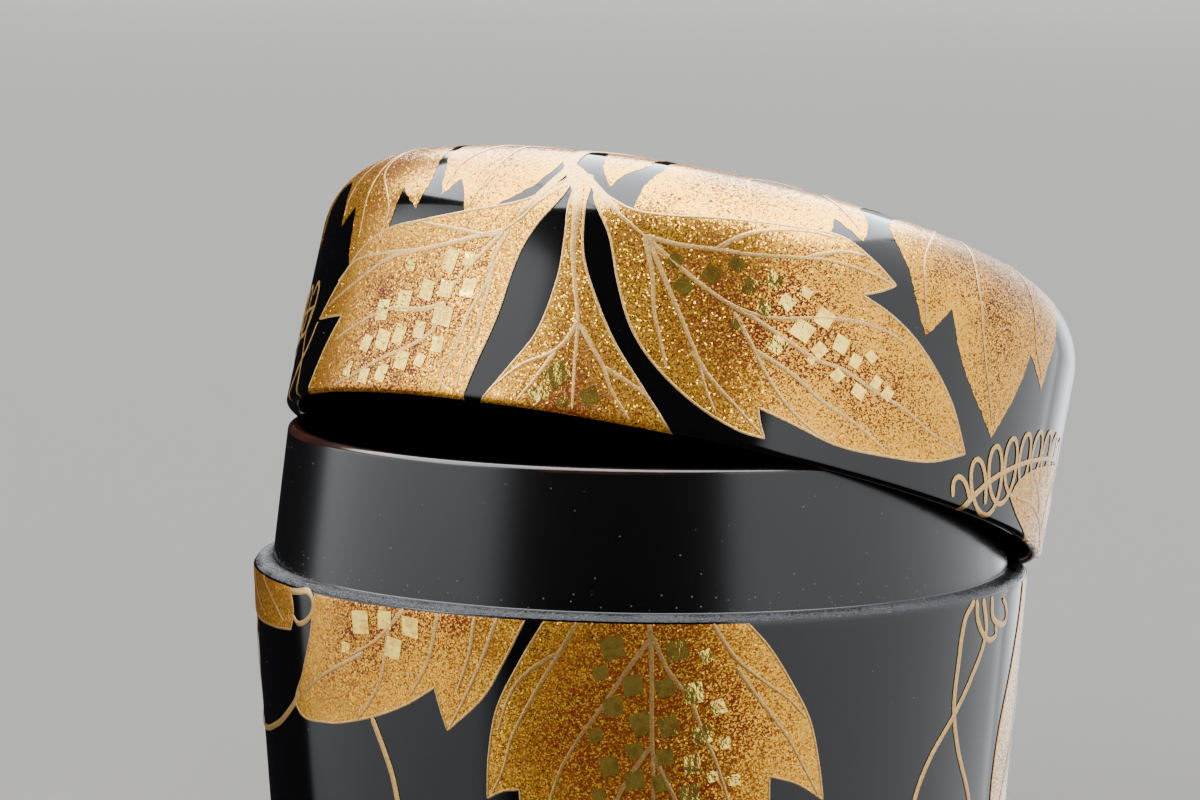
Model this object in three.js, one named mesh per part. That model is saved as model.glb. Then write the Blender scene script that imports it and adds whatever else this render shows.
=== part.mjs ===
// A tea caddy for powdered tea, turned from wood and coated in black lacquer. Its lid has been put
// back askew: it lies across the lip of the neck and hooks over the shoulder behind. Z is up, and
// the origin is the centre of the flat underside.
import * as THREE from 'three';

// Widest radius, where the closed lid and the body would meet flush
const rimRadius = 33;

// Body: a bowl that narrows to a small flat foot
const bodyHeight = 41.5;
const footRadius = 20;
const bellyHeight = 21.5;
const sideTaper = 1.4;
const bodyWall = 2.2;
const floorThickness = 3;
const ledgeRound = 0.8;

// Neck: turned in one with the body, it stands up inside the lid
const neckHeight = 11.3;
const neckTaper = 1.2;
const neckWall = 1.3;
const lidPlay = 0.5;

// Lid: a straight wall, a round shoulder and a slightly domed top
const lidHeight = 25.7;
const lidWall = 1.1;
const lidTop = 1.8;
const shoulderRadius = 6.7;
const domeRadius = 112;

// How the lid lies: its axis leans towards this bearing, measured from +X towards +Y
const leanAngle = 18;
const leanBearing = 52.5;
const restGap = 0.12;

// How the bowl's curve is pulled, as shares of its own width and height
const footPull = { out: 0.62, up: 0.09 };
const bellyPull = { tuck: 0.035, down: 0.44 };
const sidePull = { out: 0.85, up: 0.78 };

// The round of an edge, as a share of its wall
const edgeRound = 0.42;

const turnSteps = 72;

const bellyRadius = rimRadius - sideTaper;
const lidBore = rimRadius - lidWall;
const neckFootRadius = lidBore - lidPlay;
const neckTopRadius = neckFootRadius - neckTaper;
const wellRadius = neckTopRadius - neckWall;
const neckTopHeight = bodyHeight + neckHeight;
const lipRound = neckWall * edgeRound;
const lidRimRound = lidWall * edgeRound;

// Points along a run of curves; a straight stretch joins the end of one curve to the next.
function trace(...stretches) {
  const points = [];
  for (const [curve, steps] of stretches) {
    for (const point of curve.getPoints(steps)) {
      const last = points.at(-1);
      if (!last || last.distanceTo(point) > 1e-4) points.push(point);
    }
  }
  return points;
}

function arc(x, z, radius, startDegrees, endDegrees) {
  const start = THREE.MathUtils.degToRad(startDegrees);
  const end = THREE.MathUtils.degToRad(endDegrees);
  return new THREE.EllipseCurve(x, z, radius, radius, start, end, end < start);
}

function line(x0, z0, x1, z1) {
  return new THREE.LineCurve(new THREE.Vector2(x0, z0), new THREE.Vector2(x1, z1));
}

// Turned on its axis, the profile runs up the outside and back down the inside.
function turned(points) {
  const geometry = new THREE.LatheGeometry(points, turnSteps);
  geometry.rotateX(Math.PI / 2);
  return geometry;
}

// The outside of the body: a full lower bowl, then a side that flares a little to the ledge.
const bowl = new THREE.CubicBezierCurve(
  new THREE.Vector2(footRadius, 0),
  new THREE.Vector2(footRadius + (bellyRadius - footRadius) * footPull.out, bellyHeight * footPull.up),
  new THREE.Vector2(bellyRadius - bellyHeight * bellyPull.tuck, bellyHeight * (1 - bellyPull.down)),
  new THREE.Vector2(bellyRadius, bellyHeight),
);
const sideHeight = bodyHeight - ledgeRound - bellyHeight;
const side = new THREE.QuadraticBezierCurve(
  new THREE.Vector2(bellyRadius, bellyHeight),
  new THREE.Vector2(bellyRadius + sideTaper * sidePull.out, bellyHeight + sideHeight * sidePull.up),
  new THREE.Vector2(rimRadius, bodyHeight - ledgeRound),
);

const ledgeEdge = arc(rimRadius - ledgeRound, bodyHeight - ledgeRound, ledgeRound, 0, 90);

// The well follows the outside one wall in, no wider than the neck's bore and no deeper than the floor.
function wellPoints(curve, steps) {
  const points = [];
  for (let step = 0; step <= steps; step += 1) {
    const outside = curve.getPoint(step / steps);
    const along = curve.getTangent(step / steps);
    const x = Math.min(outside.x - along.y * bodyWall, wellRadius);
    const z = Math.max(outside.y + along.x * bodyWall, floorThickness);
    points.push(new THREE.Vector2(x, z));
  }
  return points;
}

function bodyProfile() {
  const outside = trace(
    [line(0, 0, footRadius, 0), 1],
    [bowl, 9],
    [side, 4],
    [ledgeEdge, 3],
    [line(neckFootRadius, bodyHeight, neckTopRadius, neckTopHeight - lipRound), 1],
    [arc(neckTopRadius - lipRound, neckTopHeight - lipRound, lipRound, 0, 90), 3],
    [arc(wellRadius + lipRound, neckTopHeight - lipRound, lipRound, 90, 180), 3],
  );
  const well = wellPoints(bowl, 9).reverse();
  return [...outside, ...well, new THREE.Vector2(0, floorThickness)];
}

// One face of the lid, from its wall over the shoulder to the middle of the dome.
function lidFace(radius, height, shoulder, dome) {
  const across = radius - shoulder;
  const domeCentre = height - dome;
  const shoulderCentre = domeCentre + Math.sqrt((dome - shoulder) ** 2 - across ** 2);
  const turn = THREE.MathUtils.radToDeg(Math.atan2(shoulderCentre - domeCentre, across));
  const points = trace(
    [arc(across, shoulderCentre, shoulder, 0, turn), 6],
    [arc(0, domeCentre, dome, turn, 90), 4],
  );
  points.at(-1).x = 0;
  return { points, wallTop: shoulderCentre };
}

const lidOutside = lidFace(rimRadius, lidHeight, shoulderRadius, domeRadius);
const lidInside = lidFace(lidBore, lidHeight - lidTop, shoulderRadius - lidWall, domeRadius - lidTop);

function lidProfile() {
  const rim = trace(
    [arc(lidBore + lidRimRound, lidRimRound, lidRimRound, 180, 270), 3],
    [arc(rimRadius - lidRimRound, lidRimRound, lidRimRound, 270, 360), 3],
  );
  return [...lidInside.points.reverse(), ...rim, ...lidOutside.points];
}

// Where the leaning lid comes to rest. The circles are the body's edges that can meet the lid's
// wall: the lip and foot of the neck, the rounded ledge, and the side below it. The flats of the
// turned wall stand in a little from its true bore.
const lean = THREE.MathUtils.degToRad(leanAngle);
const flatBore = lidBore * Math.cos(Math.PI / turnSteps);
const bodyEdges = [
  [neckTopRadius - lipRound, neckTopHeight],
  [neckTopRadius, neckTopHeight - lipRound],
  [neckFootRadius, bodyHeight],
  ...ledgeEdge.getPoints(2).map((point) => [point.x, point.y]),
  ...side.getPoints(6).map((point) => [point.x, point.y]),
];

function lidClears(slide, height) {
  const bearingSteps = 60;
  for (const [radius, z] of bodyEdges) {
    for (let step = 0; step <= bearingSteps; step += 1) {
      const bearing = (Math.PI * step) / bearingSteps;
      const along = radius * Math.cos(bearing) - slide;
      const rise = z - height;
      const depth = along * Math.sin(lean) + rise * Math.cos(lean);
      const across = along * Math.cos(lean) - rise * Math.sin(lean);
      const fromAxis = Math.hypot(across, radius * Math.sin(bearing));
      const inWall = fromAxis > flatBore - restGap && fromAxis < rimRadius + restGap;
      const nearTop = depth > lidInside.wallTop && fromAxis < rimRadius;
      if ((depth > -restGap && inWall) || nearTop) return false;
    }
  }
  return true;
}

// It slides towards the side it leans to until it can sink no lower.
function lidRest() {
  const searchStep = 0.05;
  const slideLimit = rimRadius * 0.3;
  let rest = null;
  for (let slide = 0; slide <= slideLimit; slide += searchStep) {
    let height = neckTopHeight + rimRadius * Math.sin(lean) + restGap + searchStep;
    while (lidClears(slide, height - searchStep)) height -= searchStep;
    if (!rest || height < rest.height) rest = { slide, height };
  }
  return rest;
}

const blackLacquer = { color: 0x0b0a0b, roughness: 0.14, metalness: 0 };

const caddyBody = new THREE.Mesh(turned(bodyProfile()), new THREE.MeshStandardMaterial(blackLacquer));
caddyBody.name = 'caddy_body';

const lid = new THREE.Mesh(turned(lidProfile()), new THREE.MeshStandardMaterial(blackLacquer));
lid.name = 'lid';
const bearing = THREE.MathUtils.degToRad(leanBearing);
const leanAxis = new THREE.Vector3(-Math.sin(bearing), Math.cos(bearing), 0);
const rest = lidRest();
lid.quaternion.setFromAxisAngle(leanAxis, lean);
lid.position.set(rest.slide * Math.cos(bearing), rest.slide * Math.sin(bearing), rest.height);

const teaCaddy = new THREE.Group();
teaCaddy.add(caddyBody, lid);

export default teaCaddy;
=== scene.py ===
import math
import random
from bisect import bisect_left

import bmesh
import bpy
from mathutils import Matrix, Vector
from mathutils.geometry import interpolate_bezier
from mathutils.kdtree import KDTree


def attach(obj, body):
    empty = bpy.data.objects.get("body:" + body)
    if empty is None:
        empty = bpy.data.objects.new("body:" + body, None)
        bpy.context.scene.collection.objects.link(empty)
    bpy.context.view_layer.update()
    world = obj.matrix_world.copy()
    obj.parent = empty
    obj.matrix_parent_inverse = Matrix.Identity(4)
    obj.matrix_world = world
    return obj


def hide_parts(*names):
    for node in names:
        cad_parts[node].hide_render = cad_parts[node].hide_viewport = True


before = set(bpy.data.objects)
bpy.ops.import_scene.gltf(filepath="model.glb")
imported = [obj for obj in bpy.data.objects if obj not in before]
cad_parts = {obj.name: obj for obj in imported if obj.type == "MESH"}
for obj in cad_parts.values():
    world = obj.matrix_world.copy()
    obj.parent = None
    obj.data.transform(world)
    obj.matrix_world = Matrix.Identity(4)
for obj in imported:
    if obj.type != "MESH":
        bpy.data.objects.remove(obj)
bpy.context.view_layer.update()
MM = 0.001

# The photograph is taken from the front with a long lens, from a little above the lid. The camera is
# rolled slightly, so level edges fall a little to the right.
look_down = math.radians(6.3)
roll = math.radians(0.7)
camera_at = Vector((-3.59, -376.2, 96.4)) * MM
right = Vector((math.cos(roll), math.sin(roll) * math.sin(look_down), math.sin(roll) * math.cos(look_down)))
forward = Vector((0, math.cos(look_down), -math.sin(look_down)))
up = right.cross(forward)
camera_data = bpy.data.cameras.new("camera")
camera_data.lens = 133.4
camera_data.sensor_width = 36
camera_data.clip_start = 0.01
camera = bpy.data.objects.new("camera", camera_data)
camera.matrix_world = Matrix.Translation(camera_at) @ Matrix((right, up, -forward)).transposed().to_4x4()
bpy.context.collection.objects.link(camera)
bpy.context.scene.camera = camera

# The body is turned from one piece of wood: a bowl with a small flat foot, a narrow ledge, and the
# upright neck that the lid fits over. Black lacquer covers it, polished to a mirror outside and a
# little softer on the neck; the ledge is rubbed and dusty, its grey painted paler toward the outer
# edge as a painted highlight and fading out toward the neck, and the lip is worn to the brown ground.
gold_height = 0.11  # the lacquer lies this far inside the solids' faces, to leave room for the gold
rim_radius = 33.0 - gold_height
body_height = 41.5
foot_radius = 20.0
belly_height = 21.5
side_taper = 1.4
ledge_round = 0.8
body_wall = 2.2
floor_thickness = 3.0
neck_height = 11.3
neck_taper = 1.2
neck_wall = 1.3
lid_wall = 1.1
lid_play = 0.5
edge_round = 0.42  # as a share of a wall
turn_steps = 256

belly_radius = rim_radius - side_taper
neck_foot_radius = rim_radius - lid_wall - lid_play
neck_top_radius = neck_foot_radius - neck_taper
well_radius = neck_top_radius - neck_wall
neck_top = body_height + neck_height
lip_round = neck_wall * edge_round


def curve(start, pull_start, pull_end, end, steps):
    """Points of a cubic curve, each (radius, height)."""
    corners = [Vector((*corner, 0)) for corner in (start, pull_start, pull_end, end)]
    return [(point.x, point.y) for point in interpolate_bezier(*corners, steps + 1)]


def arc(radius, height, size, start, end, steps):
    """Points of an arc; its angles are in degrees, from outward to upward."""
    angles = [math.radians(start + (end - start) * step / steps) for step in range(steps + 1)]
    return [(radius + size * math.cos(angle), height + size * math.sin(angle)) for angle in angles]


def toward(start, end, share):
    """The place a share of the way from start to end."""
    return tuple(a + (b - a) * share for a, b in zip(start, end))


def finished(name, work, *materials):
    """Makes a smooth object of a bmesh, with its materials."""
    mesh = bpy.data.meshes.new(name)
    work.to_mesh(mesh)
    work.free()
    mesh.polygons.foreach_set("use_smooth", [True] * len(mesh.polygons))
    for material in materials:
        mesh.materials.append(material)
    piece = bpy.data.objects.new(name, mesh)
    bpy.context.collection.objects.link(piece)
    return piece


def turned(name, profile, finish_of, *materials):
    """Turns a closed profile of (radius, height) in mm round the axis, and gives each ring its finish."""
    work = bmesh.new()
    points = [work.verts.new((radius * MM, 0, height * MM)) for radius, height in profile]
    edges = [work.edges.new(pair) for pair in zip(points, points[1:])]
    bmesh.ops.spin(
        work, geom=points + edges, cent=(0, 0, 0), axis=(0, 0, 1),
        angle=math.tau, steps=turn_steps, use_merge=True,
    )
    bmesh.ops.remove_doubles(work, verts=work.verts[:], dist=1e-7)
    bmesh.ops.recalc_face_normals(work, faces=work.faces[:])
    for face in work.faces:
        middle = face.calc_center_median() / MM
        face.material_index = finish_of(math.hypot(middle.x, middle.y), middle.z)
    return finished(name, work, *materials)


class Finish:
    """A material whose shader nodes are added one by one."""

    def __init__(self, name, **values):
        self.material = bpy.data.materials.new(name)
        self.material.use_nodes = True
        self.tree = self.material.node_tree
        self.shader = self.tree.nodes["Principled BSDF"]
        self.set(self.shader, values)
        coordinates = self.tree.nodes.new("ShaderNodeTexCoord")
        self.place = coordinates.outputs["Object"]

    def set(self, node, values):
        for name, value in values.items():
            socket = node.inputs[name.replace("_", " ")]
            if isinstance(value, bpy.types.NodeSocket):
                self.tree.links.new(value, socket)
            else:
                socket.default_value = value

    def add(self, kind, options=(), **values):
        node = self.tree.nodes.new("ShaderNode" + kind)
        for name, value in dict(options).items():
            setattr(node, name, value)
        self.set(node, values)
        return node

    def noise(self, scale, detail=2.0, roughness=0.5):
        node = self.add("TexNoise", Vector=self.place, Scale=scale, Detail=detail, Roughness=roughness)
        return node.outputs["Fac"]

    def cells(self, scale):
        return self.add("TexVoronoi", Vector=self.place, Scale=scale)

    def spread(self, value, low, high, to_low=0.0, to_high=1.0):
        node = self.add("MapRange", Value=value, From_Min=low, From_Max=high, To_Min=to_low, To_Max=to_high)
        return node.outputs["Result"]

    def blend(self, share, first, second):
        node = self.add("Mix", {"data_type": "RGBA"})
        for socket, value in ((0, share), (6, first), (7, second)):
            if isinstance(value, bpy.types.NodeSocket):
                self.tree.links.new(value, node.inputs[socket])
            else:
                node.inputs[socket].default_value = value
        return node.outputs[2]

    def reckon(self, operation, first, second=0.0):
        node = self.add("Math", {"operation": operation})
        for socket, value in zip(node.inputs, (first, second)):
            if isinstance(value, bpy.types.NodeSocket):
                self.tree.links.new(value, socket)
            else:
                socket.default_value = value
        return node.outputs[0]

    def bump(self, height, strength, distance):
        node = self.add("Bump", Height=height, Strength=strength, Distance=distance)
        self.set(self.shader, {"Normal": node.outputs["Normal"]})


def dust(finish, scale, share, foot_share):
    """Specks of dust, each one small cell of a fine grain; more of them lie at the neck's foot."""
    cells = finish.cells(scale)
    chosen = finish.add("SeparateColor", Color=cells.outputs["Color"]).outputs["Red"]
    height = finish.add("SeparateXYZ", Vector=finish.place).outputs["Z"]
    allowed = finish.spread(height, body_height * MM, (body_height + 2.6) * MM, foot_share, share)
    speck = finish.spread(cells.outputs["Distance"], 0.36, 0.2)
    return finish.reckon("MULTIPLY", speck, finish.reckon("LESS_THAN", chosen, allowed))


def black_lacquer(name, roughness, share, foot_share):
    """Polished black lacquer with a faint unevenness and a few specks of dust."""
    finish = Finish(name, IOR=1.42)
    specks = dust(finish, 4200, share, foot_share)
    finish.set(finish.shader, {
        "Base_Color": finish.blend(specks, (0.0035, 0.003, 0.0035, 1), (0.14, 0.135, 0.13, 1)),
        "Roughness": finish.spread(specks, 0, 1, roughness, 0.55),
    })
    finish.bump(finish.noise(90), 0.06, 0.0004)
    return finish


bowl = curve(
    (foot_radius, 0),
    (foot_radius + (belly_radius - foot_radius) * 0.62, belly_height * 0.09),
    (belly_radius - belly_height * 0.035, belly_height * 0.56),
    (belly_radius, belly_height), 44,
)
ledge_foot = (rim_radius, body_height - ledge_round)
side_pull = (belly_radius + side_taper * 0.85, belly_height + (ledge_foot[1] - belly_height) * 0.78)
side = curve(
    bowl[-1], toward(bowl[-1], side_pull, 2 / 3), toward(ledge_foot, side_pull, 2 / 3), ledge_foot, 20,
)
body_side = bowl + side[1:] + arc(rim_radius - ledge_round, ledge_foot[1], ledge_round, 0, 90, 10)[1:]
neck_and_lip = (
    [(neck_foot_radius, body_height), (neck_foot_radius - 0.01, body_height + 0.1)]
    + arc(neck_top_radius - lip_round, neck_top - lip_round, lip_round, 6, 90, 8)
    + arc(well_radius + lip_round, neck_top - lip_round, lip_round, 90, 180, 8)
)
well = []
for (radius, height), (next_radius, next_height) in zip(bowl, bowl[1:]):
    step = math.dist((radius, height), (next_radius, next_height))
    inward = ((next_height - height) * body_wall / step, (next_radius - radius) * body_wall / step)
    well.append((min(radius - inward[0], well_radius), max(height + inward[1], floor_thickness)))
foot_and_side = [(0, 0), (foot_radius - 0.6, 0)] + body_side
body_profile = foot_and_side + neck_and_lip + well[::-1] + [(0, floor_thickness)]
on_outside, on_ledge, on_neck, on_lip, on_inside = range(5)


def body_finish(radius, height):
    """Which finish of the body a ring at this radius and height has."""
    if height > neck_top - 0.5 and radius > well_radius:
        return on_lip
    if height > body_height + 0.02:
        return on_neck if radius > well_radius + 0.3 else on_inside
    if height > body_height - ledge_round * 0.6 and radius > well_radius + 1:
        return on_ledge
    beside = radius > 26 and height < body_height - ledge_round
    beneath = height < 1 or (height < floor_thickness and radius > 21)
    return on_outside if beside or beneath else on_inside


polished = black_lacquer("polished_black", 0.1, 0.002, 0.002)
neck_black = black_lacquer("neck_black", 0.22, 0.004, 0.1)
inside_black = black_lacquer("inside_black", 0.12, 0.002, 0.002)
ledge_grey = Finish("rubbed_ledge_and_painted_highlight", IOR=1.3)
grime = ledge_grey.reckon(
    "ADD", ledge_grey.noise(4200, 3, 0.7), ledge_grey.spread(ledge_grey.noise(260), 0.3, 0.7, -0.1, 0.1),
)
across = ledge_grey.add("SeparateXYZ", Vector=ledge_grey.place).outputs
squares = [ledge_grey.reckon("MULTIPLY", across[axis], across[axis]) for axis in ("X", "Y")]
from_axis = ledge_grey.reckon("POWER", ledge_grey.reckon("ADD", *squares), 0.5)
scuffs = ledge_grey.spread(grime, 0.44, 0.66)
# The scuffed grey fades out toward the neck and is painted paler at the ledge's outer edge: a painted
# highlight along the edge, laid over the real scuffs.
painted_edge_highlight = ledge_grey.spread(from_axis, 0.0315, 0.0322, 0.05, 1.2)
scuffs_and_painted_highlight = ledge_grey.reckon("MULTIPLY", scuffs, painted_edge_highlight)
ledge_grey.set(ledge_grey.shader, {
    "Base_Color": ledge_grey.blend(
        dust(ledge_grey, 5200, 0.05, 0.09),
        ledge_grey.blend(scuffs_and_painted_highlight, (0.004, 0.004, 0.006, 1), (0.08, 0.08, 0.09, 1)),
        (0.26, 0.25, 0.24, 1),
    ),
    "Roughness": ledge_grey.spread(scuffs_and_painted_highlight, 0, 0.7, 0.18, 0.7),
})
ledge_grey.bump(grime, 0.9, 0.00016)
worn_lip = Finish("worn_lip", Roughness=0.16, IOR=1.42)
wear = worn_lip.spread(worn_lip.noise(60, 3), 0.45, 0.62)
worn_lip.set(worn_lip.shader, {
    "Base_Color": worn_lip.blend(wear, (0.008, 0.006, 0.006, 1), (0.075, 0.022, 0.012, 1)),
})
body = turned(
    "lacquered_body", body_profile, body_finish,
    polished.material, ledge_grey.material, neck_black.material, worn_lip.material, inside_black.material,
)
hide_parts("caddy_body")
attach(body, "root")

# The lid is a separate turned piece with a straight wall, a round shoulder and a slightly domed top,
# in the same black lacquer. It lies askew: its low side hooks over the back of the shoulder, and its
# rim lies across the lip of the neck.
lid_height = 25.7 - gold_height
lid_top = 1.8
shoulder_radius = 6.7
dome_radius = 112.0
lean = math.radians(18)
lean_bearing = math.radians(52.5)  # from the right towards the back
lid_slide = 2.9
lid_mouth_height = 47.468
lid_rim_round = lid_wall * edge_round


def lid_face(radius, height, shoulder, dome):
    """Points from the top of the straight wall over the shoulder to the middle of the dome."""
    across = radius - shoulder
    dome_centre = height - dome
    shoulder_centre = dome_centre + math.sqrt((dome - shoulder) ** 2 - across ** 2)
    turn = math.degrees(math.atan2(shoulder_centre - dome_centre, across))
    over_shoulder = arc(across, shoulder_centre, shoulder, 0, turn, 24)
    over_dome = arc(0, dome_centre, dome, turn, 90, 24)
    return over_shoulder + over_dome[1:-1] + [(0, height)]


lid_side = [(rim_radius, 0)] + lid_face(rim_radius, lid_height, shoulder_radius, dome_radius)
lid_inside = lid_face(
    rim_radius - lid_wall, lid_height - lid_top, shoulder_radius - lid_wall, dome_radius - lid_top,
)
lid_rim = (
    arc(rim_radius - lid_wall + lid_rim_round, lid_rim_round, lid_rim_round, 180, 270, 6)
    + arc(rim_radius - lid_rim_round, lid_rim_round, lid_rim_round, 270, 360, 6)
)
lid_profile = lid_inside[::-1] + lid_rim + lid_side[1:]
lean_axis = (-math.sin(lean_bearing), math.cos(lean_bearing), 0)
lid_slide_to = (lid_slide * math.cos(lean_bearing), lid_slide * math.sin(lean_bearing), lid_mouth_height)
lid_rest = Matrix.Translation(Vector(lid_slide_to) * MM) @ Matrix.Rotation(lean, 4, lean_axis)
lid_outside, lid_worn_rim, lid_lining = range(3)


def lid_finish(radius, height):
    """Which finish of the lid a ring at this radius and height has."""
    if height < lid_rim_round and radius < rim_radius - lid_rim_round:
        return lid_worn_rim
    between_faces = lid_height - lid_top * 0.6 - radius ** 2 / (2 * dome_radius)
    inside = radius < rim_radius - lid_wall + 0.01 and height < between_faces
    return lid_lining if inside else lid_outside


lid = turned(
    "lacquered_lid", lid_profile, lid_finish,
    polished.material, worn_lip.material, inside_black.material,
)
lid.data.transform(lid_rest)
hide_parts("lid")
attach(lid, "root")

# The lid's leaves are drawn in raw lacquer and sprinkled with gold powder while it is wet. Each lobe is
# paler and closer sprinkled along its margin, and the rusty ground shows through toward its middle.
# Places are in mm: x runs to the right round the rim from the front, y runs up the side from the mouth.
grid_step = 0.8  # leaves are cut this small, so that they follow the round
fray = 0.08  # how far the powder strays from a margin
depth_reach = 5.0  # a leaf is at its barest from this far inside its margin
leaf_lift = 0.06
top_leaf_lift = 0.03
rim_end = -0.22  # the gold runs on round the edge of the rim, down to here
rim_turn = 75  # degrees of that round edge that are covered
clear_of_rim = 0.4
back_mirror = 78  # a lobe at x is drawn again at the back, at this less x
rim_leaf_shift = -108  # the leaf on the rim is drawn again this far round


def laid_round(profile, zero_at, placing):
    """Gives the function that lays a flat point on a turned side, lifted by so many mm."""
    lengths = [0.0]
    for start, end in zip(profile, profile[1:]):
        lengths.append(lengths[-1] + math.dist(start, end))

    def lay(x, y, lift):
        along = y + zero_at
        index = min(max(bisect_left(lengths, along), 1), len(lengths) - 1)
        start, end = profile[index - 1], profile[index]
        length = lengths[index] - lengths[index - 1]
        radius, height = toward(start, end, (along - lengths[index - 1]) / length)
        radius += lift * (end[1] - start[1]) / length
        height -= lift * (end[0] - start[0]) / length
        angle = x / rim_radius - math.pi / 2
        return placing @ (Vector((radius * math.cos(angle), radius * math.sin(angle), height)) * MM)

    return lay


def smoothed(points, step=0.35):
    """Points about a step apart on a smooth curve through the given ones."""
    path = [Vector((*point, 0)) for point in points]
    ahead = [path[1] - path[0]] + [b - a for a, b in zip(path, path[2:])] + [path[-1] - path[-2]]
    curved = [path[0]]
    for start, end, leaving, arriving in zip(path, path[1:], ahead, ahead[1:]):
        length = (end - start).length
        pull_out = start + leaving.normalized() * length / 3
        pull_in = end - arriving.normalized() * length / 3
        count = max(2, round(length / step) + 1)
        curved += interpolate_bezier(start, pull_out, pull_in, end, count)[1:]
    return curved


def outline_of(margins):
    """One closed line of the margins; each margin is smooth and ends at the next one's first point."""
    closed = []
    for margin, following in zip(margins, margins[1:] + margins[:1]):
        closed += smoothed(margin + following[:1])[:-1]
    return closed


def frayed(outline, spread, kept, chance):
    """Moves points of a true margin a little to either side, as powder leaves an edge."""
    moved = []
    for before, point, after in zip(outline[-1:] + outline, outline, outline[1:] + outline[:1]):
        along = (after - before).normalized()
        aside = chance.uniform(-spread, spread) if kept(point) else 0
        moved.append(point + Vector((along.y, -along.x, 0)) * aside)
    return moved


def add_leaf(work, margins, lay, lift, bends, kept, chance):
    """Adds one leaf, drawn flat, cut small and laid on; kept tells which edge points are true margins."""
    outline = outline_of(margins)
    flat = bmesh.new()
    depth = flat.verts.layers.float.new("depth")
    corners = [flat.verts.new(point) for point in frayed(outline, fray, kept, chance)]
    edges = [flat.edges.new(pair) for pair in zip(corners, corners[1:] + corners[:1])]
    bmesh.ops.contextual_create(flat, geom=edges)
    for axis in (0, 1):
        first = min(point[axis] for point in outline)
        last = max(point[axis] for point in outline)
        cuts = [first + count * grid_step for count in range(1, math.ceil((last - first) / grid_step))]
        for place in cuts + list(bends if axis == 1 else ()):
            cut = Vector((0, 0, 0))
            cut[axis] = place
            facing = Vector((1 - axis, axis, 0))
            whole = flat.verts[:] + flat.edges[:] + flat.faces[:]
            bmesh.ops.bisect_plane(flat, geom=whole, plane_co=cut, plane_no=facing)
    bmesh.ops.triangulate(flat, faces=flat.faces[:])
    if sum(face.normal.z * face.calc_area() for face in flat.faces) < 0:
        bmesh.ops.reverse_faces(flat, faces=flat.faces[:])
    edge_points = [point for point in outline if kept(point)]
    tree = KDTree(len(edge_points))
    for number, point in enumerate(edge_points):
        tree.insert(point, number)
    tree.balance()
    for vert in flat.verts:
        distance = tree.find(vert.co)[2]
        vert[depth] = min(distance / depth_reach, 1)
        vert.co = lay(vert.co.x, vert.co.y, lift)
    mesh = bpy.data.meshes.new("leaf")
    flat.to_mesh(mesh)
    flat.free()
    work.from_mesh(mesh)
    bpy.data.meshes.remove(mesh)


def add_line(work, points, lay, lift, start_width, end_width=None, crown=0.035):
    """Adds one brushed line of gold through the points, a little higher along its middle."""
    path = smoothed(points)
    count = len(path) - 1
    strip = bmesh.ops.create_grid(work, x_segments=count, y_segments=2, size=0.5)["verts"]
    for vert in strip:
        share = vert.co.x + 0.5
        side = vert.co.y * 2
        index = round(share * count)
        along = (path[min(index + 1, count)] - path[max(index - 1, 0)]).normalized()
        width = start_width + ((start_width if end_width is None else end_width) - start_width) * share
        width *= 0.55 if index in (0, count) else 1
        point = path[index] + Vector((-along.y, along.x, 0)) * side * width / 2
        vert.co = lay(point.x, point.y, lift + crown * (1 - side * side))


def mirrored(line, shift):
    return [(shift - x, y) for x, y in line]


def moved(line, shift):
    return [(x + shift, y) for x, y in line]


round_rim = arc(rim_radius - lid_rim_round, lid_rim_round, lid_rim_round, 360 - rim_turn, 360, 6)
lid_run = round_rim[:-1] + [(radius, max(height, lid_rim_round)) for radius, height in lid_side]
lay_lid = laid_round(lid_run, lid_rim_round * math.radians(rim_turn) - lid_rim_round, lid_rest)
lid_reach = sum(math.dist(start, end) for start, end in zip(lid_side, lid_side[1:]))


def from_top(*points):
    """Places on the shoulder, as seen on the top spread flat round its middle."""
    spread = []
    for x, y in points:
        angle = x / rim_radius - math.pi / 2
        spread.append(((lid_reach - y) * math.cos(angle), (lid_reach - y) * math.sin(angle)))
    return spread


def lay_top(x, y, lift):
    """Lays on a point of the top as it is seen spread flat."""
    return lay_lid((math.atan2(y, x) + math.pi / 2) * rim_radius, lid_reach - math.hypot(x, y), lift)


def turned_half(line):
    """The same line half a turn round the middle of the top."""
    return [(-x, -y) for x, y in line]


left_lobe = [
    [(-13.1, 19.0), (-16.2, 16.6), (-21.6, 15.2),
     (-26.2, 14.3), (-30.4, 13.6), (-33.6, 12.3), (-36.6, 9.7)],
    [(-39.9, 6.3)], [(-35.0, 6.4), (-37.1, 3.6)], [(-39.2, rim_end)],
    [(-18.3, rim_end), (-17.7, 2.6), (-16.6, 6.9),
     (-15.9, 11.7), (-14.9, 14.4), (-13.3, 17.0), (-12.9, 18.4)],
]
middle_lobe = [
    [(-12.2, 19.5), (-12.4, 16.8), (-12.1, 13.9), (-12.0, 10.6), (-12.8, 6.1), (-14.6, 2.9)],
    [(-16.6, rim_end)],
    [(-0.4, rim_end), (-3.6, 3.2), (-6.5, 6.4), (-9.2, 10.5), (-10.4, 13.1), (-11.0, 16.5), (-11.3, 19.5)],
]
right_lobe = [
    [(-10.6, 18.3), (-6.6, 16.9), (0.5, 17.7), (5.7, 18.3), (10.0, 18.5), (12.7, 17.3)],
    [(15.3, 15.7), (14.2, 15.0)],
    [(12.5, 14.2), (15.6, 13.2), (18.8, 11.5), (22.9, 8.1)],
    [(25.7, 4.4), (22.0, 2.9), (18.1, 2.3), (13.0, 2.0), (8.7, 2.8)],
    [(5.8, 3.4), (6.2, 2.2)],
    [(6.8, 1.1), (4.5, 1.3), (0.9, 2.6), (-2.7, 4.9),
     (-5.2, 7.5), (-7.0, 10.9), (-8.5, 14.6), (-10.4, 17.4)],
]
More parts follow.
